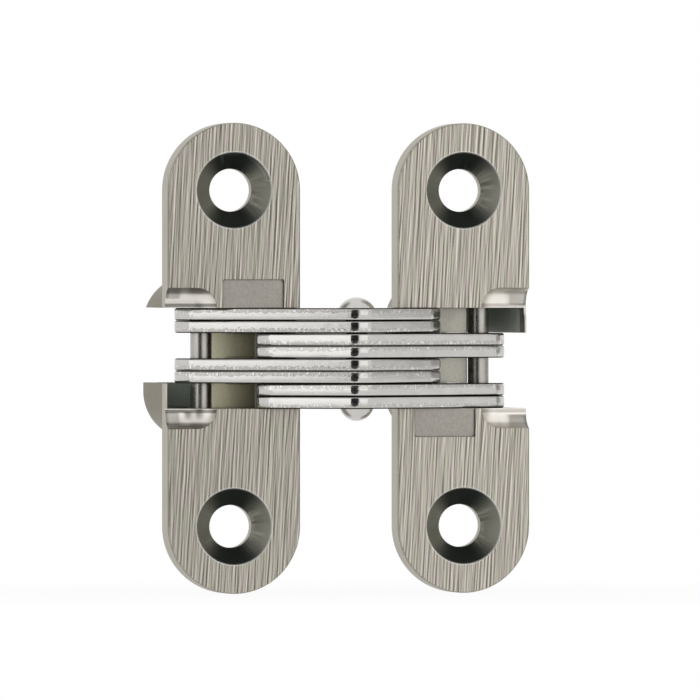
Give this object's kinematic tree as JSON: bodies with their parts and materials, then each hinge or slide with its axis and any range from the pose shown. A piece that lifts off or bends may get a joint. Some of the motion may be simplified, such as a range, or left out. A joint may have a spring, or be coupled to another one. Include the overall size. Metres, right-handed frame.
{
  "type": "concealed door hinge",
  "caption": "Invisible mortise door hinge: two round-ended leaves joined by crossed, riveted steel links that fold into the cast housings.",
  "frame": {"origin": "middle of the first leaf's seat, the back plane of its face plate halfway between its two screw holes, with the hinge fully open", "axes": "+X from the first leaf to the second, +Y back into the door edge, +Z along the pins"},
  "size_m": [0.0349, 0.0226, 0.0444],
  "materials": {
    "leaf_casting": "satin plated, lengthwise brushed face",
    "link_plate": "stamped steel, bright plated edges",
    "pin_steel": "smooth drawn steel",
    "rivet": "polished domed heads"
  },
  "bodies": {
    "leaf_a": {"leaf_a": "leaf_casting", "fixed_pin_a": "pin_steel"},
    "link_set_b": {"link_b_plate_1": "link_plate", "link_b_plate_2": "link_plate", "link_b_plate_3": "link_plate", "link_b_plate_4": "link_plate", "slide_pin_b": "pin_steel", "centre_pin": "rivet"},
    "link_set_a": {"link_a_plate_1": "link_plate", "link_a_plate_2": "link_plate", "link_a_plate_3": "link_plate", "link_a_plate_4": "link_plate", "slide_pin_a": "pin_steel"},
    "leaf_b": {"leaf_b": "leaf_casting", "fixed_pin_b": "pin_steel"}
  },
  "joints": [
    {"name": "fixed_pivot_a", "type": "hinge", "parent": "leaf_a", "child": "link_set_b", "pos_m": [0.00473, 0.00037, 0], "axis": [0, 0, -1], "range_deg": [0, 109.8]},
    {"name": "centre_pivot", "type": "hinge", "parent": "link_set_b", "child": "link_set_a", "pos_m": [0.0111, -0.0062, 0], "axis": [0, 0, -1], "range_deg": [-39.7, 0]},
    {"name": "fixed_pivot_b", "type": "hinge", "parent": "link_set_a", "child": "leaf_b", "pos_m": [0.01747, 0.00037, 0], "axis": [0, 0, -1], "range_deg": [0, 109.9]}
  ],
  "couplings": [
    {"joint": "centre_pivot", "follows": "fixed_pivot_a", "ratio": -0.36069},
    {"joint": "fixed_pivot_b", "follows": "fixed_pivot_a", "ratio": 1}
  ]
}
